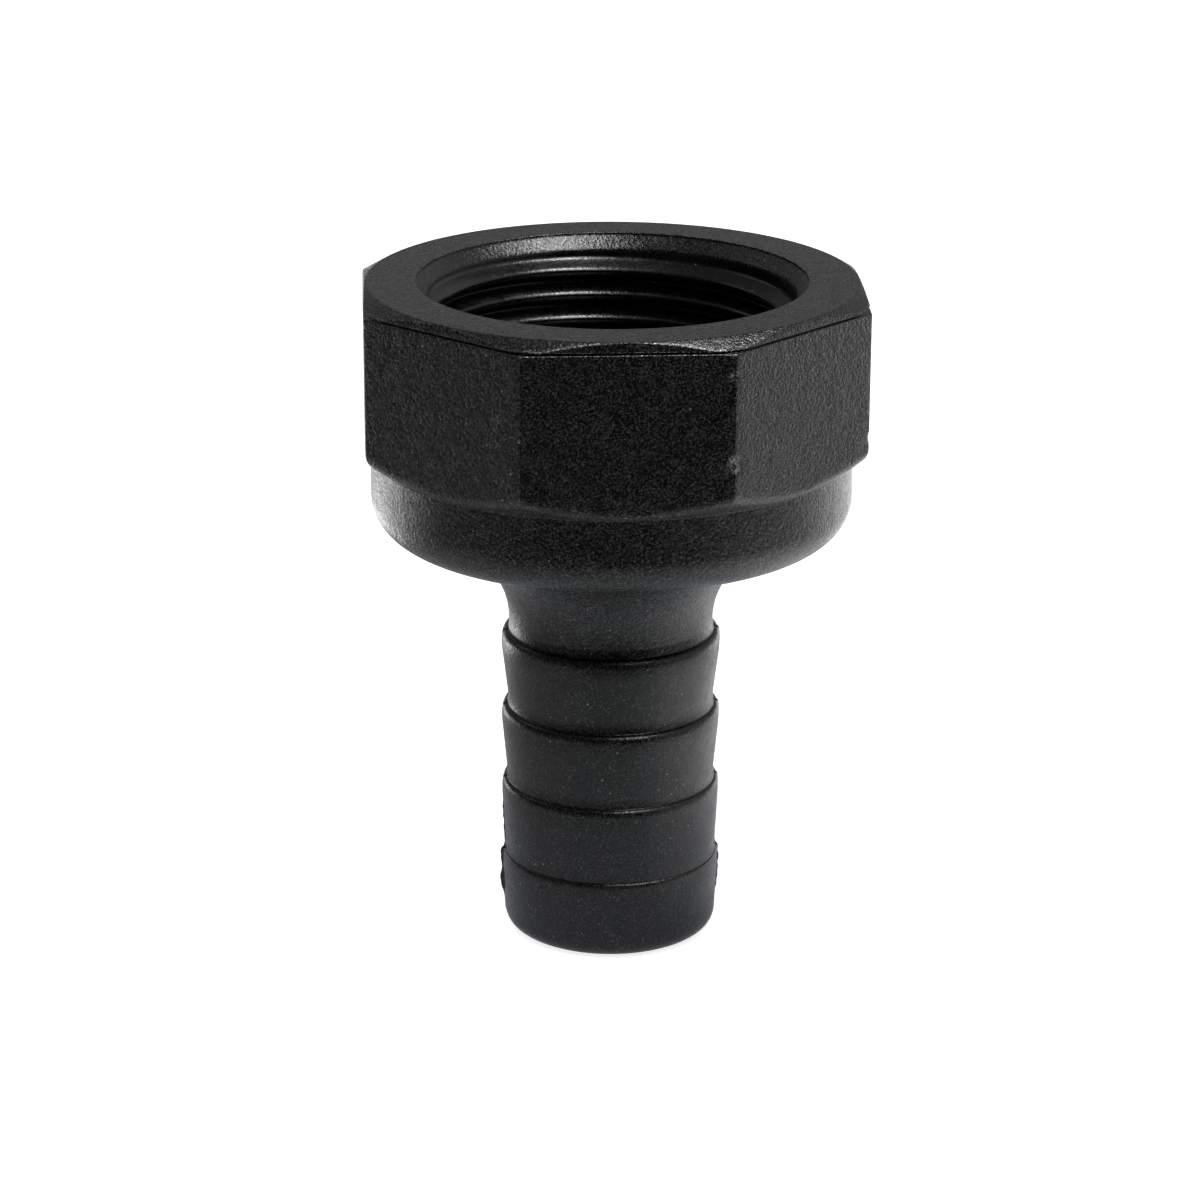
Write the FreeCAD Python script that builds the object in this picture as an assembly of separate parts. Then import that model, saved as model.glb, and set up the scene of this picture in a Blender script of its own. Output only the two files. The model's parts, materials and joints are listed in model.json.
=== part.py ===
# Thru hull adapter: a barbed hose tail moulded in one piece with an eight-sided threaded head.
# Millimetres. +Z runs up the axis of the fitting, and the origin is the centre of the hose end,
# which the adapter stands on. One flat of the head faces -Y, the front.

import FreeCAD, Part
import math
import os

# Head: eight flats, with their corners cut back by a cone above and a steeper one below
HEAD_SIDES = 8
ACROSS_FLATS = 45.0
FLAT_HEIGHT = 15.6
TOP_CONE_ANGLE = 30.0
FOOT_CONE_ANGLE = 36.0

# Collar: the round part under the head, set in from the flats
COLLAR_STEP = 0.5
COLLAR_HEIGHT = 8.0
COLLAR_ROUND = 3.8

# Neck: straight above the first barb, then flaring out to a flat ring on the collar's underside
NECK_LENGTH = 9.5
NECK_STRAIGHT = 0.9
FLARE_PULL = 5.0
UNDERSIDE_RING = 3.0

# Barbs: how far each crest stands out past what lies above it, from the neck to the hose end
BARB_STEPS = (0.7, 0.6, 0.475, 0.25)
BARB_PITCH = 7.27
CREST_DIAMETER = 20.2
CREST_LAND = 1.0
CREST_CHAMFER = 0.45

# Hose end: the last barb runs down to it with a slight taper
LAST_BARB_LENGTH = 7.5
LAST_BARB_TAPER = 0.3
HOSE_END_ROUND = 1.5

# Socket for a one inch pipe thread, at the size of the thread's crests. Its mouth is chamfered
# down to the size of the thread's roots, and runs on plain before the thread begins
THREAD_MINOR_DIAMETER = 30.291
THREAD_DEPTH = 1.479
MOUTH_CHAMFER = 1.1
RUN_IN_DEPTH = 1.75
THREAD_START = 2.58

# Passage below the socket
SEAT_THICKNESS = 4.6
TAIL_WALL = 2.15
WATERWAY_LEAD_IN = 1.0

# Working values: the overrun of a cutting shape, and the distance at which two points are one
OVERCUT = 1.0
SAME_POINT = 0.0001

# Radii that follow from the sizes above
FLAT_RADIUS = ACROSS_FLATS / 2
CORNER_RADIUS = FLAT_RADIUS / math.cos(math.pi / HEAD_SIDES)
COLLAR_RADIUS = FLAT_RADIUS - COLLAR_STEP
CREST_RADIUS = CREST_DIAMETER / 2
NECK_RADIUS = CREST_RADIUS - BARB_STEPS[0]
HOSE_END_RADIUS = CREST_RADIUS - LAST_BARB_TAPER
SOCKET_RADIUS = THREAD_MINOR_DIAMETER / 2
WATERWAY_RADIUS = NECK_RADIUS - TAIL_WALL

# Heights above the hose end that follow from the sizes above
FIRST_BARB_LEDGE = LAST_BARB_LENGTH + (len(BARB_STEPS) - 1) * BARB_PITCH
COLLAR_UNDERSIDE = FIRST_BARB_LEDGE + NECK_LENGTH
FLATS_BOTTOM = COLLAR_UNDERSIDE + COLLAR_HEIGHT
TOP = FLATS_BOTTOM + FLAT_HEIGHT
WASHER_SEAT = COLLAR_UNDERSIDE + SEAT_THICKNESS

CENTRE = FreeCAD.Vector(0, 0, 0)
UP = FreeCAD.Vector(0, 0, 1)


class Outline:
    """Half of a turned section, drawn upwards from its first point as radius and height."""

    def __init__(self, radius, height):
        self.start = FreeCAD.Vector(radius, 0, height)
        self.here = self.start
        self.edges = []

    def line(self, radius, height):
        """Draws a straight line, unless the pen is at its far end already."""
        target = FreeCAD.Vector(radius, 0, height)
        if not target.isEqual(self.here, SAME_POINT):
            self.edges.append(Part.LineSegment(self.here, target).toShape())
            self.here = target

    def quarter(self, radius, height, centre_radius, centre_height):
        """Draws a quarter circle round the given centre."""
        target = FreeCAD.Vector(radius, 0, height)
        centre = FreeCAD.Vector(centre_radius, 0, centre_height)
        outward = (self.here + target) * 0.5 - centre
        middle = centre + outward.normalize() * target.distanceToPoint(centre)
        self.edges.append(Part.Arc(self.here, middle, target).toShape())
        self.here = target

    def flare(self, radius, height, pull):
        """Draws a curve that starts upright, pulled straight up, and leans out to its far end."""
        target = FreeCAD.Vector(radius, 0, height)
        curve = Part.BezierCurve()
        curve.setPoles([self.here, self.here + UP * pull, target])
        self.edges.append(curve.toShape())
        self.here = target

    def turned(self):
        """Closes the outline and turns it round the axis into a solid."""
        self.line(self.start.x, self.start.z)
        face = Part.Face(Part.Wire(self.edges))
        return face.revolve(CENTRE, UP, 360)


def flats():
    """The prism of flats, from the collar's underside to the top, with one flat facing -Y."""
    corners = []
    for side in range(HEAD_SIDES + 1):
        angle = (side + 0.5) * 2 * math.pi / HEAD_SIDES - math.pi / 2
        corner = FreeCAD.Vector(math.cos(angle), math.sin(angle), 0) * CORNER_RADIUS
        corners.append(corner + UP * COLLAR_UNDERSIDE)
    face = Part.Face(Part.makePolygon(corners))
    return face.extrude(UP * (TOP - COLLAR_UNDERSIDE))


def corner_cut():
    """The turned shape that the flats are cut to: a cone above them and one below."""
    top_slope = math.tan(math.radians(TOP_CONE_ANGLE))
    foot_slope = math.tan(math.radians(FOOT_CONE_ANGLE))
    past_corner = CORNER_RADIUS + OVERCUT
    overhang = past_corner - FLAT_RADIUS
    cone_foot = FLATS_BOTTOM - COLLAR_STEP * foot_slope
    outline = Outline(0, cone_foot)
    outline.line(COLLAR_RADIUS, cone_foot)
    outline.line(past_corner, FLATS_BOTTOM + overhang * foot_slope)
    outline.line(past_corner, TOP - overhang * top_slope)
    outline.line(FLAT_RADIUS, TOP)
    outline.line(0, TOP)
    return outline.turned()


def draw_hose_end(outline):
    """Draws the ring that the adapter stands on, and its rounded outer edge."""
    ring = HOSE_END_RADIUS - HOSE_END_ROUND
    outline.line(ring, 0)
    outline.quarter(HOSE_END_RADIUS, HOSE_END_ROUND, ring, HOSE_END_ROUND)


def draw_barb(outline, ledge, step):
    """Draws a taper, crest land, chamfer and flat ledge, up to the ledge's inner edge."""
    chamfer = min(CREST_CHAMFER, step)
    land_top = ledge - chamfer
    outline.line(CREST_RADIUS, land_top - CREST_LAND)
    outline.line(CREST_RADIUS, land_top)
    outline.line(CREST_RADIUS - chamfer, ledge)
    outline.line(CREST_RADIUS - step, ledge)


def draw_neck(outline):
    """Draws the neck, which flares out to the collar's underside."""
    flare_end = COLLAR_RADIUS - COLLAR_ROUND - UNDERSIDE_RING
    outline.line(NECK_RADIUS, FIRST_BARB_LEDGE + NECK_STRAIGHT)
    outline.flare(flare_end, COLLAR_UNDERSIDE, FLARE_PULL)


def draw_collar(outline):
    """Draws the collar's underside, its large lower round and its side, up to the flats."""
    round_radius = COLLAR_RADIUS - COLLAR_ROUND
    round_top = COLLAR_UNDERSIDE + COLLAR_ROUND
    outline.line(round_radius, COLLAR_UNDERSIDE)
    outline.quarter(COLLAR_RADIUS, round_top, round_radius, round_top)
    outline.line(COLLAR_RADIUS, FLATS_BOTTOM)
    outline.line(0, FLATS_BOTTOM)


def tail_and_collar():
    """Everything below the flats, solid through the middle."""
    outline = Outline(0, 0)
    draw_hose_end(outline)
    for place, step in enumerate(reversed(BARB_STEPS)):
        draw_barb(outline, LAST_BARB_LENGTH + place * BARB_PITCH, step)
    draw_neck(outline)
    draw_collar(outline)
    return outline.turned()


def passage():
    """The space inside: waterway, washer seat, socket and chamfered mouth."""
    root_radius = SOCKET_RADIUS + THREAD_DEPTH
    past_mouth = root_radius + MOUTH_CHAMFER + OVERCUT
    outline = Outline(0, -OVERCUT)
    outline.line(WATERWAY_RADIUS, -OVERCUT)
    outline.line(WATERWAY_RADIUS, WASHER_SEAT - WATERWAY_LEAD_IN)
    outline.line(WATERWAY_RADIUS + WATERWAY_LEAD_IN, WASHER_SEAT)
    outline.line(SOCKET_RADIUS, WASHER_SEAT)
    outline.line(SOCKET_RADIUS, TOP - THREAD_START)
    outline.line(root_radius, TOP - RUN_IN_DEPTH)
    outline.line(root_radius, TOP - MOUTH_CHAMFER)
    outline.line(past_mouth, TOP + OVERCUT)
    outline.line(0, TOP + OVERCUT)
    return outline.turned()


def adapter_body():
    """The whole adapter, which is one moulding."""
    head = flats().common(corner_cut())
    solid = head.fuse(tail_and_collar()).cut(passage())
    return solid.removeSplitter().Solids[0]


def main():
    os.makedirs("parts", exist_ok=True)
    body = adapter_body()
    body.exportStep("parts/adapter_body.step")
    print("adapter_body", round(body.Volume, 1), "cubic millimetres, valid", body.isValid())


main()
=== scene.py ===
# Looks of the thru hull adapter: a moulded, barbed hose tail with an eight-sided threaded head.
# The body is turned in millimetres round the adapter's axis, +Z up from the centre of the hose
# end, and is scaled to metres at the end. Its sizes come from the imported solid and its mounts.

import json
import math
from collections import namedtuple

import bmesh
import bpy
from mathutils import Matrix, Vector, noise


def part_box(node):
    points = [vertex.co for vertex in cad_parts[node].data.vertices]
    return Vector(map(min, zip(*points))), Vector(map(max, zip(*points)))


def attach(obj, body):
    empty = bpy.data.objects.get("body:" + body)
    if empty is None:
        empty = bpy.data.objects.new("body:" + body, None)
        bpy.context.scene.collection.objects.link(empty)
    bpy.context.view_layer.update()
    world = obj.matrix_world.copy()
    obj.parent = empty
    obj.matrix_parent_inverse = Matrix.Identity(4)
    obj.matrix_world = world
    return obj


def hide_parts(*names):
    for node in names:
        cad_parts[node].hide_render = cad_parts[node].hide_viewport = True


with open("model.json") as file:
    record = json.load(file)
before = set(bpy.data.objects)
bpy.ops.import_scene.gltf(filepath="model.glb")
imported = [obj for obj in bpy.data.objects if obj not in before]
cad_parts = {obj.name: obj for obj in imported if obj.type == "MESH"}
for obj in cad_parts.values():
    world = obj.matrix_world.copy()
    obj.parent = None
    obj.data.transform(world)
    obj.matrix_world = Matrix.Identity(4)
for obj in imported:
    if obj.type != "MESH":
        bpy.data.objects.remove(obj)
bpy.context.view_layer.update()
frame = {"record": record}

MM = 0.001
NODE = "adapter_body"
MOUNTS = {mount["name"]: mount for mount in frame["record"]["mounts"]}

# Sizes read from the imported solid
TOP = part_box(NODE)[1].z / MM
OUTER_FLAT_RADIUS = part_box(NODE)[1].x / MM
THREAD_CREST_RADIUS = MOUNTS["thread_socket"]["dims"]["r_mm"]
WATERWAY_RADIUS = MOUNTS["waterway"]["dims"]["r_mm"]
BARB_RADIUS = MOUNTS["hose_tail"]["dims"]["r_mm"]
WASHER_SEAT = MOUNTS["washer_seat"]["pos_m"][2] / MM

# Head
SIDES = 8
HALF_SIDE = math.pi / SIDES
PARTING_BULGE = 0.07
FLAT_RADIUS = OUTER_FLAT_RADIUS - PARTING_BULGE
CORNER_FILLET = 0.3
FLAT_HEIGHT = 15.6
CONE_TOP_RADIUS = 22.2
CONE_SLOPE = math.tan(math.radians(30))
FOOT_CONE_SLOPE = math.tan(math.radians(36))
COLLAR_RADIUS = 22.0
COLLAR_UNDERSIDE = 38.81
COLLAR_ROUND = 3.8

# Witness line: a groove round the head, under a slice that the mould set down a little askew
WITNESS_LINE = 1.0
WITNESS_NOTCH = 0.11
WITNESS_DEPTH = 0.35
SLICE_SHIFT = 0.07
SLICE_LEAN = math.tan(math.radians(7))

# Tail: the lips and roots of its barbs are shares of each barb's step
NECK_STRAIGHT = 0.9
FLARE_PULL = 5.0
UNDERSIDE_RING = 3.0
BARB_STEPS = (0.7, 0.6, 0.475, 0.25)
BARB_PITCH = 7.27
LAST_BARB_LENGTH = 7.5
LAST_BARB_TAPER = 0.3
LIP_SHARE = 0.7
LIP_HEIGHT = 0.75
ROOT_SHARE = 0.17
ROOT_HEIGHT = 0.8
CREST_LAND = 0.8
HOSE_END_ROUND = 1.5

# Thread in the mouth: a right-handed pipe thread, rounded at its crests and roots. It begins and
# ends over a range of depths below the top, and its first crest at the back lies at a depth too
PITCH = 2.309
THREAD_DEPTH = 0.640327 * PITCH
THREAD_ROUND = 0.137329 * PITCH
FLANK_ANGLE = math.radians(27.5)
THREAD_ROOT_RADIUS = THREAD_CREST_RADIUS + THREAD_DEPTH
BACK = math.pi / 2
FRONT = 3 * BACK
BACK_CREST_DEPTH = 3.12
THREAD_START = (2.4, 2.7)
THREAD_END = (16.6, 17.6)
MOUTH_CHAMFER = 1.1
MOUTH_STEP = 0.22

# Small rounds and chamfers
MOUTH_EDGE = 0.06
HEAD_EDGE = 0.12
FLATS_FOOT_ROUND = 0.75
SEAT_EDGE = 0.3
LEDGE_ROOT = 0.08
WATERWAY_LEAD_IN = 1.0
WATERWAY_END = 0.4

# Flash left by the mould on its parting plane, along both sides of the tail: a ridge all the way
# with a peak at each ledge, and two fins on each side, above and below the lowest ledge
PARTING_RIDGE = 0.04
LEDGE_PEAK = 0.13
LEDGE_PEAK_REACH = 0.6
LEFT_FINS = (0.16, 0.34)
RIGHT_FINS = (0.05, 0.22)
LOWER_FIN_FOOT = (2.0, 3.6)
LOWER_FIN_END = 0.35
UPPER_FIN_FOOT = (0.2, 1)
UPPER_FIN_END = (4, 5)
FLASH_WAVES = 1.7
FLASH_SHARES = (1.0, 0.6)

# Nicks knocked into the head's corners: angle, height, reach and depth
FRONT_RIGHT_CORNER = math.radians(292.5)
RIGHT_CORNER = math.radians(337.5)
NICKS = (
    (FRONT_RIGHT_CORNER, 59.4, 0.35, 0.06),
    (FRONT_RIGHT_CORNER, 51.8, 0.75, 0.15),
    (FRONT_RIGHT_CORNER, 51.0, 0.5, 0.10),
    (RIGHT_CORNER, 49.9, 0.6, 0.12),
)
NICK_FLOOR = 0.2

# Scuffing and painted light: how pale the nylon is painted, from 0 to 1
TOP_WEAR = 0.09
MOUTH_WEAR = 0.3
UPPER_EDGE_WEAR = 0.15
# Painted highlight: the front flat's upper edges are painted pale where the key lamp's highlight
# falls
FRONT_EDGE_SCUFF_AND_SHEEN = 0.5
FRONT_SHEEN_GROWS = (-0.12, 0.1)
CORNER_WEAR = 0.2
NICK_WEAR = 0.65
# Painted reflection: the hose end's bottom rim is painted pale for the bright floor it reflects
RIM_REFLECTION = 0.4
RIM_REFLECTION_HEIGHT = 0.12

# How much of the grain and the glints the inside lacks: less on the mouth's chamfer than below it
CHAMFER_SMOOTHNESS = 0.3
CHAMFER_FADE = 0.4

# Mesh
COLUMNS_PER_HALF_SIDE = 15
COLUMNS = 2 * SIDES * COLUMNS_PER_HALF_SIDE
PARTING_COLUMNS = [0.0, 0.0153, 0.035]
THREAD_ROW = 0.17
FLAT_ROWS = 36
FLARE_STEPS = 12
LIP_POINTS = 8
LONGEST_ROUND_SHARE = 0.85
SAME_POINT = 0.0001
STRAIGHT_ON = 0.01

# Patterns in the nylon, in cells to the metre
PITS = 3200
WAVES = 800
BLOTCHES = 420
FINE_GLINTS = 6500
BRIGHT_GLINTS = 4200
GLINT_CROWDS = 700
DUST = 1500
RAGGED_EDGES = 4000

# Relief of the grain, in metres at its full strength, and its share on the tail and inside
GRAIN_DEPTH = 0.00012
GRAIN_STRENGTH = 0.8
TAIL_GRAIN = 0.4
INNER_GRAIN = 0.3

# Colours of the nylon
DEEP_BLACK = (0.001, 0.0011, 0.001, 1)
SOFT_BLACK = (0.0025, 0.0027, 0.0026, 1)
TAIL_GLINT = (0.09, 0.092, 0.092, 1)
HEAD_GLINT = (0.145, 0.148, 0.142, 1)
BRIGHT_GLINT = (0.24, 0.245, 0.235, 1)
DUST_GREY = (0.16, 0.16, 0.15, 1)
SCUFF_AND_SHEEN_GREY = (0.36, 0.36, 0.345, 1)

# Roughness of the nylon
SATIN = (0.22, 0.38)
ROUGHER_INSIDE = 0.04
SMOOTHER_HEAD = 0.04

# Heights in metres between which the tail's finish gives way to the head's
HEAD_FINISH = (0.029, 0.034)

Corner = namedtuple("Corner", "radius height reach steps rows worn")
Column = namedtuple("Column", "angle on_corner flash")


def corner(radius, height, reach=0.0, steps=0, rows=0, worn=0.0):
    """A corner of the section: its round's reach and steps, the rows before it, and how pale it is
    painted for scuffing and painted light.
    """
    return Corner(radius, height, reach, steps, rows, worn)


def smooth(low, high, value):
    """Rises smoothly from 0 at the low end to 1 at the high end."""
    share = min(1.0, max(0.0, (value - low) / (high - low)))
    return share * share * (3 - 2 * share)


# Columns of the mesh

def column_shares(parting):
    """Where the columns stand from the middle of a side, 0, to its corner, 1."""
    fillet = math.atan2(CORNER_FILLET * math.sin(HALF_SIDE),
                        (FLAT_RADIUS - CORNER_FILLET) / math.cos(HALF_SIDE)
                        + CORNER_FILLET * math.cos(HALF_SIDE)) / HALF_SIDE
    first = PARTING_COLUMNS if parting else [0.0]
    last = [1 - fillet, 1 - fillet / 2, 1.0]
    between = COLUMNS_PER_HALF_SIDE + 1 - len(first) - len(last)
    span = last[0] - first[-1]
    middle = [first[-1] + span * (place + 1) / (between + 1) for place in range(between)]
    return first + middle + last


def mesh_columns():
    """The columns of the mesh, drawn close at the corners and at the mould's parting plane."""
    columns = []
    for half_side in range(2 * SIDES):
        side = (half_side + 1) // 2
        parting = side % (SIDES // 2) == 0
        shares = column_shares(parting)
        if half_side % 2:
            steps = [-share for share in reversed(shares[1:])]
        else:
            steps = shares[:-1]
        for share in steps:
            place = shares.index(abs(share))
            flash = FLASH_SHARES[place] if parting and place < len(FLASH_SHARES) else 0.0
            angle = HALF_SIDE * (2 * side + share)
            columns.append(Column(angle, abs(share) == 1, flash))
    return columns


# Shape of the head and the thread

def corner_reach(off_corner):
    """Radius of the rounded corner between two flats, or None past its round."""
    centre = (FLAT_RADIUS - CORNER_FILLET) / math.cos(HALF_SIDE)
    aside = centre * math.sin(off_corner)
    if aside > CORNER_FILLET * math.sin(HALF_SIDE):
        return None
    return centre * math.cos(off_corner) + math.sqrt(CORNER_FILLET ** 2 - aside ** 2)


def flat_reach(angle, drafted=True):
    """Radius of the eight flats at an angle. The two on the parting plane can have their draft."""
    side = round(angle / (2 * HALF_SIDE))
    off_middle = abs(angle - side * 2 * HALF_SIDE)
    rounded = corner_reach(HALF_SIDE - off_middle)
    if rounded:
        return rounded
    if side % (SIDES // 2) or not drafted:
        return FLAT_RADIUS / math.cos(off_middle)
    full = OUTER_FLAT_RADIUS / FLAT_RADIUS * math.cos(HALF_SIDE)
    draft = (full - math.cos(HALF_SIDE)) / math.sin(HALF_SIDE)
    return OUTER_FLAT_RADIUS / (math.cos(off_middle) + draft * math.sin(off_middle))


def cone_reach(depth):
    """Radius of the cone that cuts the head's corners back, at a depth below the top."""
    return CONE_TOP_RADIUS + depth / CONE_SLOPE


def slice_reaches(angle):
    """Radius of the slice above the witness line, at its foot and where the cone cuts it."""
    foot = flat_reach(angle, drafted=False)
    foot += SLICE_SHIFT * (math.cos(angle) ** 2 + math.sin(angle) * abs(math.sin(angle)))
    lean = SLICE_LEAN
    top = (foot - (WITNESS_LINE + CONE_TOP_RADIUS * CONE_SLOPE) * lean) / (1 - CONE_SLOPE * lean)
    foot_depth = WITNESS_LINE - WITNESS_NOTCH
    return min(foot, cone_reach(foot_depth)), min(top, cone_reach(foot_depth - WITNESS_NOTCH))


def edge_scuff_and_sheen(angle):
    """How pale the head's upper edges are painted: scuffed all round, and on the front flat a
    painted highlight that grows toward its right half.
    """
    off_front = angle - FRONT
    if abs(off_front) > HALF_SIDE:
        return UPPER_EDGE_WEAR
    return FRONT_EDGE_SCUFF_AND_SHEEN + (1 - FRONT_EDGE_SCUFF_AND_SHEEN) * smooth(*FRONT_SHEEN_GROWS, off_front)


def thread_rise(along):
    """How far the thread's wall lies outside its crest, at a distance from the crest."""
    tangent = THREAD_ROUND * math.cos(FLANK_ANGLE)
    if along < tangent:
        return THREAD_ROUND - math.sqrt(THREAD_ROUND ** 2 - along ** 2)
    if along > PITCH / 2 - tangent:
        return THREAD_DEPTH - thread_rise(PITCH / 2 - along)
    return thread_rise(tangent * 0.9999) + (along - tangent) / math.tan(FLANK_ANGLE)


def thread_radius(angle, depth):
    """Radius of the threaded wall at an angle and a depth below the top."""
    turns = (depth - BACK_CREST_DEPTH) / PITCH + (angle - BACK) / math.tau
    from_crest = (turns - round(turns)) * PITCH
    rise = thread_rise(abs(from_crest))
    begun = smooth(*THREAD_START, depth - from_crest)
    ended = smooth(*THREAD_END, depth)
    radius = THREAD_ROOT_RADIUS - begun * (THREAD_DEPTH - rise)
    radius -= ended * (radius - THREAD_CREST_RADIUS)
    return max(radius, THREAD_ROOT_RADIUS + MOUTH_CHAMFER + MOUTH_STEP - depth)


# The section, corner by corner

def inside_corners():
    """From the hose end up the waterway to the foot of the thread."""
    return [
        corner(WATERWAY_RADIUS, 0, WATERWAY_END, 3),
        corner(WATERWAY_RADIUS, WASHER_SEAT, WATERWAY_LEAD_IN, 5, rows=3),
        corner(THREAD_CREST_RADIUS, WASHER_SEAT, SEAT_EDGE, 3, rows=1),
    ]


def head_corners(angle):
    """From the mouth over the top, down the flats and in to the collar."""
    reach = flat_reach(angle)
    slice_foot, slice_top = slice_reaches(angle)
    mouth = THREAD_ROOT_RADIUS + MOUTH_CHAMFER
    cone_end = TOP - (slice_top - CONE_TOP_RADIUS) * CONE_SLOPE
    flats_bottom = TOP - FLAT_HEIGHT
    flat_end = flats_bottom + (reach - OUTER_FLAT_RADIUS) * FOOT_CONE_SLOPE
    cone_foot = flats_bottom - (OUTER_FLAT_RADIUS - COLLAR_RADIUS) * FOOT_CONE_SLOPE
    line = TOP - WITNESS_LINE
    flat_edge = min(reach, cone_reach(WITNESS_LINE + WITNESS_NOTCH))
    groove = min(slice_foot, flat_edge) - WITNESS_DEPTH
    # Scuffs, with a painted highlight on the front flat's upper edges
    edge_paleness = edge_scuff_and_sheen(angle)
    return [
        corner(mouth, TOP - MOUTH_STEP, MOUTH_EDGE, 1),
        corner(mouth, TOP, MOUTH_EDGE, 3, worn=MOUTH_WEAR),
        corner(CONE_TOP_RADIUS, TOP, HEAD_EDGE, 2, rows=2),
        corner(slice_top, cone_end, HEAD_EDGE, 3, rows=1, worn=edge_paleness),
        corner(slice_foot, line + WITNESS_NOTCH, WITNESS_NOTCH / 2, 2, worn=edge_paleness),
        corner(groove, line + WITNESS_NOTCH),
        corner(groove, line - WITNESS_NOTCH),
        corner(flat_edge, line - WITNESS_NOTCH, WITNESS_NOTCH / 2, 2, worn=edge_paleness),
        corner(reach, line - 2 * WITNESS_NOTCH),
        corner(reach, flat_end, FLATS_FOOT_ROUND, 6, rows=FLAT_ROWS),
        corner(COLLAR_RADIUS, cone_foot, LEDGE_ROOT, 2, rows=1),
    ]


def neck_flare():
    """The curve that the neck flares out by, from the collar's underside down to the neck."""
    outer = COLLAR_RADIUS - COLLAR_ROUND - UNDERSIDE_RING
    neck = BARB_RADIUS - BARB_STEPS[0]
    first_ledge = LAST_BARB_LENGTH + (len(BARB_STEPS) - 1) * BARB_PITCH
    foot = first_ledge + NECK_STRAIGHT
    points = []
    for step in range(FLARE_STEPS + 1):
        down = step / FLARE_STEPS
        up = 1 - down
        radius = outer * up ** 2 + neck * (1 - up ** 2)
        pull = (foot + FLARE_PULL) * 2 * up * down
        points.append((radius, COLLAR_UNDERSIDE * up ** 2 + pull + foot * down ** 2))
    return points


def barb_corners(ledge, step):
    """A barb's root, which leans out from the wall above it to its ledge, and its rounded lip."""
    wall = BARB_RADIUS - step
    lip = LIP_SHARE * step
    corners = [
        corner(wall, ledge + ROOT_HEIGHT, ROOT_HEIGHT / 2, 2, rows=12),
        corner(wall + ROOT_SHARE * step, ledge, LEDGE_ROOT, 1, rows=2),
    ]
    for part in range(LIP_POINTS):
        turn = math.pi / 2 * part / (LIP_POINTS - 1)
        corners.append(corner(BARB_RADIUS - lip * (1 - math.sin(turn)),
                              ledge - LIP_HEIGHT * (1 - math.cos(turn))))
    corners.append(corner(BARB_RADIUS, ledge - LIP_HEIGHT - CREST_LAND, CREST_LAND / 2, 2, rows=1))
    return corners


def tail_corners():
    """From the collar down the neck and the barbs to the hose end."""
    corners = [corner(COLLAR_RADIUS, COLLAR_UNDERSIDE, COLLAR_ROUND, 14, rows=2)]
    corners += [corner(radius, height) for radius, height in neck_flare()]
    for place, step in enumerate(BARB_STEPS):
        ledge = LAST_BARB_LENGTH + (len(BARB_STEPS) - 1 - place) * BARB_PITCH
        corners += barb_corners(ledge, step)
    end = BARB_RADIUS - LAST_BARB_TAPER
    corners.append(corner(end, 0, HOSE_END_ROUND, 8, rows=16))
    return corners


def round_off(before, here, after):
    """The points that stand for one corner: the corner itself, or an arc that rounds it."""
    point = Vector((here.radius, here.height))
    if not here.steps:
        return [Vector((here.radius, here.height, here.worn))]
    into = Vector((before.radius, before.height)) - point
    out = Vector((after.radius, after.height)) - point
    reach = min(here.reach, LONGEST_ROUND_SHARE * into.length, LONGEST_ROUND_SHARE * out.length)
    into.normalize()
    out.normalize()
    first, last = point + into * reach, point + out * reach
    half = into.angle(out) / 2
    shares = [step / here.steps for step in range(here.steps + 1)]
    if math.cos(half) < STRAIGHT_ON:
        spots = [first.lerp(last, share) for share in shares]
    else:
        centre = point + (into + out).normalized() * reach / math.cos(half)
        start, end = (first - centre).normalized(), (last - centre).normalized()
        radius = reach * math.tan(half)
        spots = [centre + start.slerp(end, share) * radius for share in shares]
    return [Vector((spot.x, spot.y, here.worn if 0 < share < 1 else 0))
            for share, spot in zip(shares, spots)]


def join_corners(corners, before, after):
    """Rounds a run of corners off and sets the rows in between them."""
    points = []
    ends = [before] + corners + [after]
    last = None
    for place, here in enumerate(corners):
        rounded = round_off(ends[place], here, ends[place + 2])
        if last is not None:
            for row in range(here.rows):
                spot = last.lerp(rounded[0], (row + 1) / (here.rows + 1))
                points.append(Vector((spot.x, spot.y, 0)))
        points += rounded
        last = rounded[-1]
    return points


def thread_points(angle):
    """The threaded wall, from the washer seat up to the foot of the step in the mouth."""
    foot = TOP - WASHER_SEAT - SEAT_EDGE - THREAD_ROW
    head = MOUTH_STEP + MOUTH_EDGE
    rows = round(foot / THREAD_ROW)
    depths = [foot - (foot - head) * row / rows for row in range(rows + 1)]
    return [Vector((thread_radius(angle, depth), TOP - depth, 0)) for depth in depths]


def flash_height(height, fins):
    """How far the flash on the parting plane stands out from the tail at a height."""
    ledges = [LAST_BARB_LENGTH + place * BARB_PITCH for place in range(len(BARB_STEPS))]
    lowest = ledges[0]
    peak = max(smooth(LEDGE_PEAK_REACH, 0, abs(height - ledge)) for ledge in ledges)
    ragged = 0.75 + 0.5 * noise.noise((height * FLASH_WAVES, fins[1] * 40, 0))
    lower = fins[1] * smooth(*LOWER_FIN_FOOT, height)
    lower *= smooth(lowest + LOWER_FIN_END, lowest, height)
    upper = fins[0] * smooth(lowest + UPPER_FIN_FOOT[0], lowest + UPPER_FIN_FOOT[1], height)
    upper *= smooth(lowest + UPPER_FIN_END[1], lowest + UPPER_FIN_END[0], height)
    return max(PARTING_RIDGE, LEDGE_PEAK * peak, (lower + upper) * ragged)


def inner_points(angle):
    """The section's inside, from the hose end up to the foot of the step in the mouth."""
    above_seat = corner(THREAD_CREST_RADIUS, TOP)
    below = corner(BARB_RADIUS, 0)
    return join_corners(inside_corners(), below, above_seat) + thread_points(angle)


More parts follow.
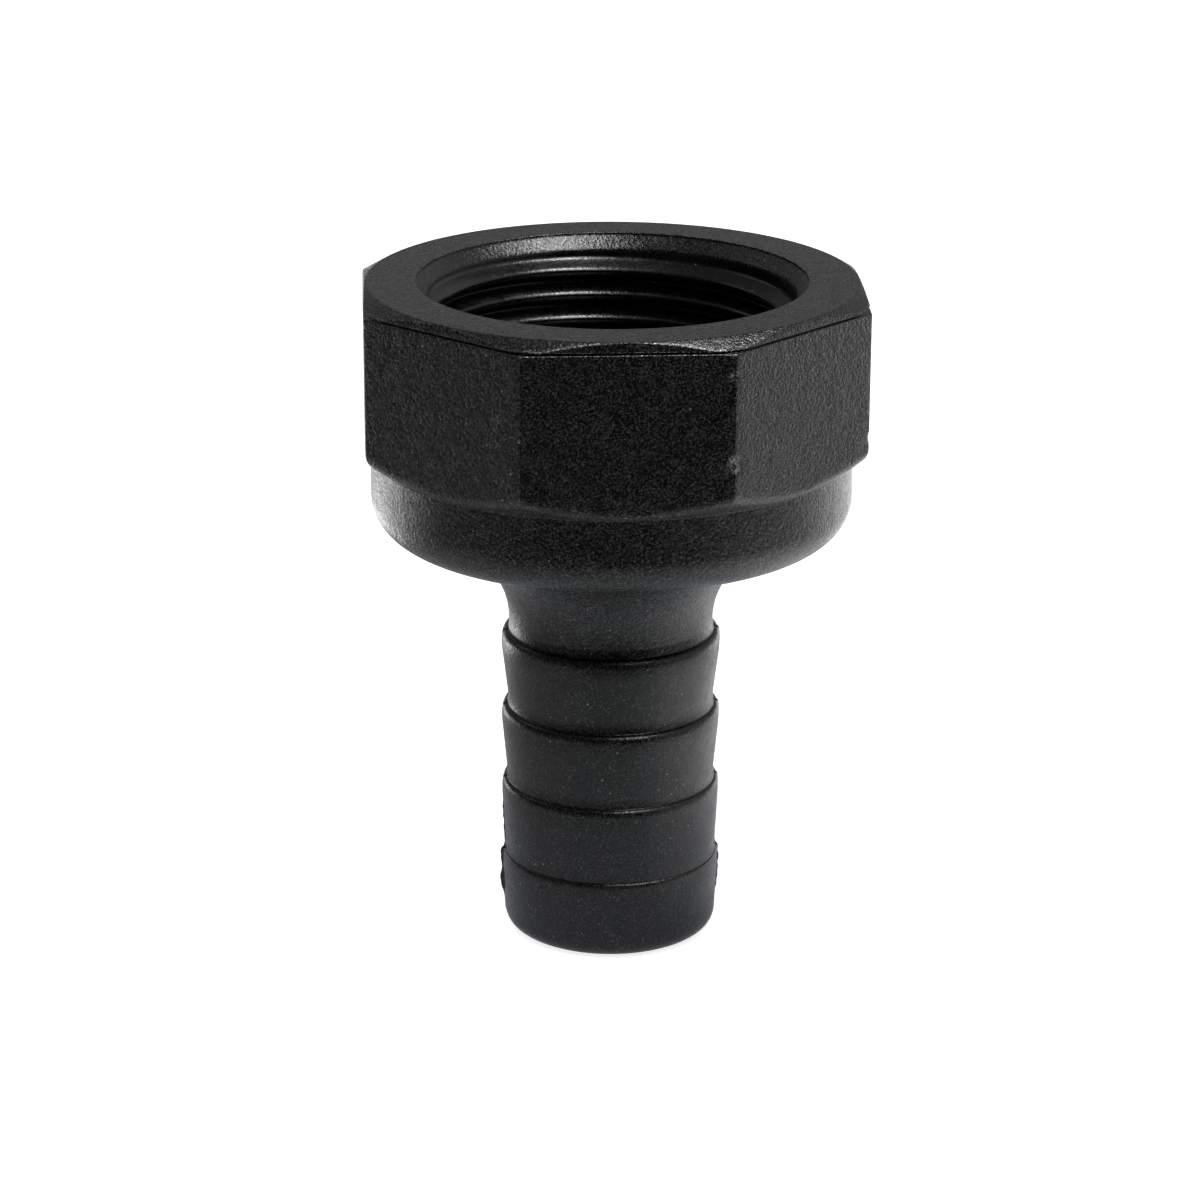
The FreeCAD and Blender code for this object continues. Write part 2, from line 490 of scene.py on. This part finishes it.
def knock_in(point, angle):
    """Moves a point of the head's outside in where a nick is, and paints it pale as scuffed."""
    for nick_angle, height, reach, depth in NICKS:
        away = math.hypot((angle - nick_angle) * FLAT_RADIUS, point.y - height)
        bite = smooth(reach, NICK_FLOOR * reach, away)
        point.x -= bite * depth
        point.z = max(point.z, NICK_WEAR * bite)


def outer_points(column):
    """The section's outside at a column, from the step in the mouth down to the hose end."""
    in_chamfer = corner(THREAD_ROOT_RADIUS, TOP - MOUTH_STEP - MOUTH_CHAMFER)
    waterway = corner(WATERWAY_RADIUS, 0)
    outside = join_corners(head_corners(column.angle) + tail_corners(), in_chamfer, waterway)
    fins = RIGHT_FINS if math.cos(column.angle) > 0 else LEFT_FINS
    for point in outside:
        if point.y > TOP - SAME_POINT:
            point.z = max(point.z, TOP_WEAR)
        # Painted reflection of the floor along the hose end's rim
        if point.y < RIM_REFLECTION_HEIGHT:
            point.z = RIM_REFLECTION
        knock_in(point, column.angle)
        if column.on_corner and TOP - FLAT_HEIGHT < point.y < TOP - WITNESS_LINE:
            point.z = max(point.z, CORNER_WEAR)
        if column.flash and HOSE_END_ROUND / 2 < point.y < COLLAR_UNDERSIDE - 1:
            point.x += column.flash * flash_height(point.y, fins)
    return outside


def turned_body():
    """Turns the section round the axis and moves each column to the section at its own angle."""
    mesh = bmesh.new()
    row_of = mesh.verts.layers.int.new("row")
    # How pale each point is painted: scuffs, a painted highlight on the front edges, a painted
    # reflection on the rim
    worn = mesh.verts.layers.float.new("worn")
    inner = mesh.verts.layers.float.new("inner")
    columns = mesh_columns()
    sections = [inner_points(column.angle) + outer_points(column) for column in columns]
    inner_rows = len(inner_points(0))
    points = [mesh.verts.new((point.x, 0, point.y)) for point in sections[0]]
    for row, vert in enumerate(points):
        vert[row_of] = row
    edges = [mesh.edges.new((vert, points[row - 1])) for row, vert in enumerate(points)]
    bmesh.ops.spin(mesh, geom=points + edges, cent=(0, 0, 0), axis=(0, 0, 1), dvec=(0, 0, 0),
                   angle=math.tau, steps=COLUMNS, use_merge=True, use_duplicate=False)
    for vert in mesh.verts:
        place = round(math.atan2(vert.co.y, vert.co.x) / math.tau * COLUMNS) % COLUMNS
        angle = columns[place].angle
        point = sections[place][vert[row_of]]
        vert.co = (point.x * math.cos(angle), point.x * math.sin(angle), point.y)
        vert[worn] = point.z
        if vert[row_of] < inner_rows:
            below_chamfer = TOP - MOUTH_STEP - MOUTH_CHAMFER - point.y
            below = smooth(0, CHAMFER_FADE, below_chamfer)
            vert[inner] = CHAMFER_SMOOTHNESS + (1 - CHAMFER_SMOOTHNESS) * below
    bmesh.ops.recalc_face_normals(mesh, faces=mesh.faces)
    bmesh.ops.scale(mesh, vec=(MM, MM, MM), verts=mesh.verts)
    return mesh


def finished_piece(name, mesh, material):
    """Makes a smooth object of a mesh, with its flat faces kept flat."""
    data = bpy.data.meshes.new(name)
    mesh.to_mesh(data)
    mesh.free()
    data.shade_smooth()
    data.materials.append(material)
    piece = bpy.data.objects.new(name, data)
    bpy.context.scene.collection.objects.link(piece)
    flat = piece.modifiers.new("even_flats", "WEIGHTED_NORMAL")
    flat.weight = 80
    return piece


# Materials

def new_group(name, inputs, outputs):
    """An empty node group with named sockets."""
    group = bpy.data.node_groups.new(name, "ShaderNodeTree")
    for socket, kind in inputs:
        group.interface.new_socket(socket, in_out="INPUT", socket_type=kind)
    for socket, kind in outputs:
        group.interface.new_socket(socket, in_out="OUTPUT", socket_type=kind)
    return group, group.nodes.new("NodeGroupInput"), group.nodes.new("NodeGroupOutput")


def noise_node(tree, place, scale, detail=2.0, roughness=0.5):
    """A noise pattern, from 0 to 1 and mostly near a half."""
    texture = tree.nodes.new("ShaderNodeTexNoise")
    texture.inputs["Scale"].default_value = scale
    texture.inputs["Detail"].default_value = detail
    texture.inputs["Roughness"].default_value = roughness
    tree.links.new(place, texture.inputs["Vector"])
    return texture.outputs["Fac"]


def arithmetic(tree, operation, first, second=0.5, third=0.5):
    """A math node; each value is a number or another node's output."""
    step = tree.nodes.new("ShaderNodeMath")
    step.operation = operation
    for socket, value in zip(step.inputs, (first, second, third)):
        if isinstance(value, (int, float)):
            socket.default_value = value
        else:
            tree.links.new(value, socket)
    return step.outputs["Value"]


def between(tree, value, low, high, to_low=0.0, to_high=1.0):
    """Spreads a range of values over another range, with its ends held."""
    spread = tree.nodes.new("ShaderNodeMapRange")
    tree.links.new(value, spread.inputs["Value"])
    limits = {"From Min": low, "From Max": high, "To Min": to_low, "To Max": to_high}
    for socket, number in limits.items():
        spread.inputs[socket].default_value = number
    return spread.outputs["Result"]


def blend(tree, share, under, over):
    """Mixes two colours; each is a colour or another node's output."""
    mix = tree.nodes.new("ShaderNodeMix")
    mix.data_type = "RGBA"
    tree.links.new(share, mix.inputs["Factor"])
    for socket, colour in ((mix.inputs["A"], under), (mix.inputs["B"], over)):
        if isinstance(colour, tuple):
            socket.default_value = colour
        else:
            tree.links.new(colour, socket)
    return mix.outputs["Result"]


def attribute(tree, name):
    """A value that the mesh carries at its points."""
    carried = tree.nodes.new("ShaderNodeAttribute")
    carried.attribute_name = name
    return carried.outputs["Fac"]


def moulded_grain():
    """The fine, uneven grain of a glass-filled moulding, and its darker and lighter blotches."""
    group, given, result = new_group(
        "moulded_grain",
        [("Place", "NodeSocketVector")],
        [("Height", "NodeSocketFloat"), ("Blotches", "NodeSocketFloat")])
    place = given.outputs["Place"]
    pits = noise_node(group, place, PITS, detail=3.0, roughness=0.65)
    waves = noise_node(group, place, WAVES)
    height = arithmetic(group, "MULTIPLY_ADD", waves, 0.6, pits)
    blotches = noise_node(group, place, BLOTCHES, detail=4.0, roughness=0.65)
    group.links.new(height, result.inputs["Height"])
    group.links.new(between(group, blotches, 0.35, 0.65), result.inputs["Blotches"])
    return group


def glass_glints():
    """Uneven glints of the glass fibres that end in the surface, in looser and denser crowds."""
    group, given, result = new_group(
        "glass_glints",
        [("Place", "NodeSocketVector"), ("Density", "NodeSocketFloat"),
         ("Faint", "NodeSocketFloat"), ("Full", "NodeSocketFloat")],
        [("Mask", "NodeSocketFloat")])
    place = given.outputs["Place"]
    fine = noise_node(group, place, 1, detail=1.0, roughness=0.6)
    group.links.new(given.outputs["Density"], fine.node.inputs["Scale"])
    crowd = noise_node(group, place, GLINT_CROWDS)
    level = arithmetic(group, "MULTIPLY_ADD", crowd, 0.12, fine)
    mask = group.nodes.new("ShaderNodeMapRange")
    group.links.new(level, mask.inputs["Value"])
    group.links.new(given.outputs["Faint"], mask.inputs["From Min"])
    group.links.new(given.outputs["Full"], mask.inputs["From Max"])
    group.links.new(mask.outputs["Result"], result.inputs["Mask"])
    return group


def scattered_dust():
    """Small round specks of dust, in a chosen share of a pattern of cells."""
    group, given, result = new_group(
        "scattered_dust",
        [("Place", "NodeSocketVector"), ("Density", "NodeSocketFloat"),
         ("Radius", "NodeSocketFloat"), ("Share", "NodeSocketFloat")],
        [("Mask", "NodeSocketFloat")])
    cells = group.nodes.new("ShaderNodeTexVoronoi")
    group.links.new(given.outputs["Place"], cells.inputs["Vector"])
    group.links.new(given.outputs["Density"], cells.inputs["Scale"])
    near = arithmetic(group, "LESS_THAN", cells.outputs["Distance"], given.outputs["Radius"])
    drawn = group.nodes.new("ShaderNodeSeparateColor")
    group.links.new(cells.outputs["Color"], drawn.inputs["Color"])
    chosen = arithmetic(group, "LESS_THAN", drawn.outputs["Red"], given.outputs["Share"])
    group.links.new(arithmetic(group, "MULTIPLY", near, chosen), result.inputs["Mask"])
    return group


def place_group(tree, group, place, **values):
    """Places a node group in a material, with its own values."""
    placed = tree.nodes.new("ShaderNodeGroup")
    placed.node_tree = group
    tree.links.new(place, placed.inputs["Place"])
    for socket, value in values.items():
        placed.inputs[socket].default_value = value
    return placed.outputs


def nylon_colour(tree, place, dust, on_head, blotches, fine, bright):
    """Blotched black under its glints, its dust, its scuffed edges and the painted highlights and
    reflection on some edges.
    """
    specks = place_group(tree, dust, place, Density=DUST, Radius=0.13, Share=0.03)["Mask"]
    ragged = between(tree, noise_node(tree, place, RAGGED_EDGES), 0.47, 0.58)
    # Pale at scuffs, at the painted edge highlight and at the rim's painted reflection
    scuffs_and_sheen = arithmetic(tree, "MULTIPLY", attribute(tree, "worn"), ragged)
    glint = blend(tree, on_head, TAIL_GLINT, HEAD_GLINT)
    colour = blend(tree, blotches, DEEP_BLACK, SOFT_BLACK)
    layers = (fine, glint), (bright, BRIGHT_GLINT), (specks, DUST_GREY), (scuffs_and_sheen, SCUFF_AND_SHEEN_GREY)
    for share, over in layers:
        colour = blend(tree, share, colour, over)
    return colour


def nylon_roughness(tree, grain, on_head, inner):
    """Satin that follows the grain, a little rougher inside and a little smoother on the head."""
    rough = between(tree, grain, 0.6, 1.0, *SATIN)
    rough = arithmetic(tree, "MULTIPLY_ADD", inner, ROUGHER_INSIDE, rough)
    return arithmetic(tree, "MULTIPLY_ADD", on_head, -SMOOTHER_HEAD, rough)


def nylon_bump(tree, grain, on_head, outside):
    """The grain's relief, which is lower on the tail and lower still inside."""
    depth = between(tree, on_head, 0, 1, TAIL_GRAIN, 1.0)
    depth = arithmetic(tree, "MULTIPLY", depth, between(tree, outside, 0, 1, INNER_GRAIN, 1.0))
    bump = tree.nodes.new("ShaderNodeBump")
    bump.inputs["Strength"].default_value = GRAIN_STRENGTH
    bump.inputs["Distance"].default_value = GRAIN_DEPTH
    tree.links.new(arithmetic(tree, "MULTIPLY", grain, depth), bump.inputs["Height"])
    return bump.outputs["Normal"]


def moulded_nylon(grain, glints, dust):
    """Black glass-filled nylon, satin, grained and glinting, with pale scuffs and a painted
    highlight and reflection on some edges.
    """
    material = bpy.data.materials.new("moulded_nylon")
    material.use_nodes = True
    tree = material.node_tree
    shader = tree.nodes["Principled BSDF"]
    place = tree.nodes.new("ShaderNodeTexCoord").outputs["Object"]
    surface = place_group(tree, grain, place)
    parts = tree.nodes.new("ShaderNodeSeparateXYZ")
    tree.links.new(place, parts.inputs["Vector"])
    on_head = between(tree, parts.outputs["Z"], *HEAD_FINISH)
    inner = attribute(tree, "inner")
    outside = arithmetic(tree, "SUBTRACT", 1.0, inner)
    fine = place_group(tree, glints, place, Density=FINE_GLINTS, Faint=0.61, Full=0.79)["Mask"]
    bright = place_group(tree, glints, place, Density=BRIGHT_GLINTS, Faint=0.79, Full=0.84)["Mask"]
    fine = arithmetic(tree, "MULTIPLY", fine, outside)
    bright = arithmetic(tree, "MULTIPLY", bright, outside)
    finish = {
        "Base Color": nylon_colour(tree, place, dust, on_head, surface["Blotches"], fine, bright),
        "Metallic": arithmetic(tree, "MAXIMUM", fine, bright),
        "Roughness": nylon_roughness(tree, surface["Height"], on_head, inner),
        "Normal": nylon_bump(tree, surface["Height"], on_head, outside),
    }
    for socket, value in finish.items():
        tree.links.new(value, shader.inputs[socket])
    return material


def pale_floor():
    """A white floor that glows a little, as a lit table does."""
    material = bpy.data.materials.new("pale_floor")
    material.use_nodes = True
    shader = material.node_tree.nodes["Principled BSDF"]
    shader.inputs["Base Color"].default_value = FLOOR_WHITE
    shader.inputs["Roughness"].default_value = 0.9
    shader.inputs["Emission Color"].default_value = (1, 1, 1, 1)
    shader.inputs["Emission Strength"].default_value = FLOOR_GLOW
    return material


def glowing_card(name, brightness, tint):
    """A card of an even brightness, whatever light falls on it."""
    material = bpy.data.materials.new(name)
    material.use_nodes = True
    shader = material.node_tree.nodes["Principled BSDF"]
    shader.inputs["Base Color"].default_value = (0, 0, 0, 1)
    shader.inputs["Specular IOR Level"].default_value = 0.0
    shader.inputs["Emission Color"].default_value = (*tint, 1)
    shader.inputs["Emission Strength"].default_value = brightness
    return material


# Studio

# Camera: it looks at the middle of the mouth, which lies at a pixel of the photograph
PHOTO_SIZE = 1200
FOCAL_PIXELS = 4000
SENSOR = 36.0
AZIMUTH = math.radians(-3.5)
ELEVATION = math.radians(14.13)
ROLL = math.radians(0.19)
DISTANCE = 361.2
AXIS_TOP_PIXEL = (612.4, 278.4)
AIM_ROUNDS = 15

# Floor and surroundings
FLOOR_SIZE = (60, 60)
FLOOR_WHITE = (0.85, 0.85, 0.85, 1)
FLOOR_GLOW = 0.8
ROOM_GREY = (0.11, 0.11, 0.11, 1)

# Lamps: name, place, size, power, and whether it shows in the gloss alone or lights all but that
LAMP_TARGET = (0, 0, 0.035)
LAMPS = (
    ("key_softbox", (0.2216, -0.088, 0.662), (0.2, 0.2), 4.0, True),
    ("front_softbox", (0.215, -0.372, 0.585), (0.24, 0.3), 2.4, True),
    ("overhead_softbox", (0.0, 0.1, 1.6), (2.2, 2.2), 28, False),
)

# Tints of the cards
PLAIN = (1.0, 1.0, 1.0)
COOL = (0.97, 0.99, 1.09)
LEAFY = (0.97, 1.03, 0.99)

# Cards that tile the floor and show in reflections alone: name, brightness, tint, and the card's
# reach from left to right and from front to back, in metres
FLOOR_CARDS = (
    ("front_card", 0.0, PLAIN, (-0.8, 0.8), (-0.8, -0.07)),
    ("near_left_card", 0.42, LEAFY, (-0.11, 0.0), (-0.07, -0.04)),
    ("near_middle_card", 0.52, LEAFY, (0.0, 0.03), (-0.07, -0.04)),
    ("near_right_card", 0.8, LEAFY, (0.03, 0.11), (-0.07, -0.04)),
    ("foot_left_card", 0.38, PLAIN, (-0.11, -0.03), (-0.04, 0.06)),
    ("foot_inner_card", 0.45, COOL, (-0.03, 0.014), (-0.04, 0.06)),
    ("foot_middle_card", 0.68, COOL, (0.014, 0.032), (-0.04, 0.06)),
    ("foot_right_card", 1.2, PLAIN, (0.032, 0.11), (-0.04, 0.06)),
    ("left_card", 0.1, PLAIN, (-0.8, -0.11), (-0.07, 0.06)),
    ("left_rear_card", 0.1, PLAIN, (-0.8, -0.15), (0.06, 0.12)),
    ("right_card", 0.35, PLAIN, (0.11, 0.8), (-0.07, 0.06)),
    ("back_left_near_card", 4.0, PLAIN, (-0.15, -0.045), (0.06, 0.12)),
    ("back_left_far_card", 1.15, PLAIN, (-0.8, -0.045), (0.12, 1.5)),
    ("back_middle_card", 0.4, PLAIN, (-0.045, 0.045), (0.06, 1.5)),
    ("back_right_card", 1.9, PLAIN, (0.045, 0.8), (0.06, 1.5)),
)
CARD_HEIGHT = 0.0002

# Cards that stand upright round the floor: name, brightness, tint, centre, size and the axis that
# each is turned up about
SCREENS = (
    ("front_screen", 0.0, PLAIN, (0.0, -0.8, 0.5), (1.6, 1.0), "X"),
    ("back_screen", 0.22, PLAIN, (0.0, 1.5, 0.5), (1.6, 1.0), "X"),
    ("left_screen", 0.03, PLAIN, (-0.8, 0.35, 0.35), (0.7, 2.3), "Y"),
    ("right_screen", 0.4, PLAIN, (0.8, 0.35, 0.5), (1.0, 2.3), "Y"),
    ("high_left_screen", 0.6, PLAIN, (-0.6, 0.33, 0.5), (0.35, 0.5), "Y"),
)


def aim(back, offset):
    """The camera's rotation that puts the target at an offset from the picture's centre."""
    forward = -back
    for _ in range(AIM_ROUNDS):
        right = forward.cross(Vector((0, 0, 1))).normalized()
        up = right.cross(forward)
        rolled_right = right * math.cos(ROLL) + up * math.sin(ROLL)
        rolled_up = up * math.cos(ROLL) - right * math.sin(ROLL)
        depth = -back.dot(forward)
        miss_x = -back.dot(rolled_right) / depth - offset[0]
        miss_y = -back.dot(rolled_up) / depth - offset[1]
        forward = (forward + rolled_right * miss_x + rolled_up * miss_y).normalized()
    return Matrix((rolled_right, rolled_up, -forward)).transposed()


def photo_camera():
    """The camera at the photograph's place, aimed so that the mouth lies where it does there."""
    back = Vector((math.sin(AZIMUTH) * math.cos(ELEVATION),
                   -math.cos(AZIMUTH) * math.cos(ELEVATION),
                   math.sin(ELEVATION)))
    offset = ((AXIS_TOP_PIXEL[0] - PHOTO_SIZE / 2) / FOCAL_PIXELS,
              (PHOTO_SIZE / 2 - AXIS_TOP_PIXEL[1]) / FOCAL_PIXELS)
    data = bpy.data.cameras.new("photo_camera")
    data.sensor_width = SENSOR
    data.lens = SENSOR * FOCAL_PIXELS / PHOTO_SIZE
    data.clip_start = 0.01
    camera = bpy.data.objects.new("photo_camera", data)
    bpy.context.scene.collection.objects.link(camera)
    place = (Vector((0, 0, TOP)) + back * DISTANCE) * MM
    camera.matrix_world = Matrix.Translation(place) @ aim(back, offset).to_4x4()
    bpy.context.scene.camera = camera


def softbox(name, place, size, power, in_gloss):
    """A soft rectangular lamp that faces the part. The camera doesn't see it."""
    data = bpy.data.lights.new(name, "AREA")
    data.shape = "RECTANGLE"
    data.size, data.size_y = size
    data.energy = power
    lamp = bpy.data.objects.new(name, data)
    bpy.context.scene.collection.objects.link(lamp)
    lamp.location = place
    direction = Vector(LAMP_TARGET) - Vector(place)
    lamp.rotation_euler = direction.to_track_quat("-Z", "Y").to_euler()
    lamp.visible_camera = False
    lamp.visible_glossy = in_gloss
    lamp.visible_diffuse = not in_gloss


def sheet(name, material, centre, size, turned_about=None):
    """A flat sheet of the studio, which stays out of the part. It lies flat or stands upright."""
    mesh = bmesh.new()
    bmesh.ops.create_grid(mesh, x_segments=1, y_segments=1, size=0.5)
    bmesh.ops.scale(mesh, vec=(size[0], size[1], 1), verts=mesh.verts)
    if turned_about:
        upright = Matrix.Rotation(math.pi / 2, 3, turned_about)
        bmesh.ops.rotate(mesh, matrix=upright, verts=mesh.verts)
    bmesh.ops.translate(mesh, vec=centre, verts=mesh.verts)
    data = bpy.data.meshes.new(name)
    mesh.to_mesh(data)
    mesh.free()
    data.materials.append(material)
    piece = bpy.data.objects.new(name, data)
    bpy.context.scene.collection.objects.link(piece)
    return piece


def reflection_card(name, brightness, tint, centre, size, turned_about=None):
    """A card that shows in the gloss of the part and nowhere else."""
    card = sheet(name, glowing_card(name, brightness, tint), centre, size, turned_about)
    card.visible_camera = False
    card.visible_diffuse = False
    card.visible_shadow = False


def studio():
    """A white floor under soft lamps, and cards that give the part its reflections."""
    floor = sheet("floor", pale_floor(), (0, 0, 0), FLOOR_SIZE)
    floor.visible_glossy = False
    for name, brightness, tint, across, along in FLOOR_CARDS:
        centre = (sum(across) / 2, sum(along) / 2, CARD_HEIGHT)
        size = (across[1] - across[0], along[1] - along[0])
        reflection_card(name, brightness, tint, centre, size)
    for screen in SCREENS:
        reflection_card(*screen)
    for lamp in LAMPS:
        softbox(*lamp)
    world = bpy.data.worlds.new("studio")
    world.use_nodes = True
    world.node_tree.nodes["Background"].inputs["Color"].default_value = ROOM_GREY
    bpy.context.scene.world = world
    bpy.context.scene.view_settings.view_transform = "Standard"


NYLON = moulded_nylon(moulded_grain(), glass_glints(), scattered_dust())
body = finished_piece("adapter_moulding", turned_body(), NYLON)
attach(body, "root")
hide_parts(NODE)
studio()
photo_camera()
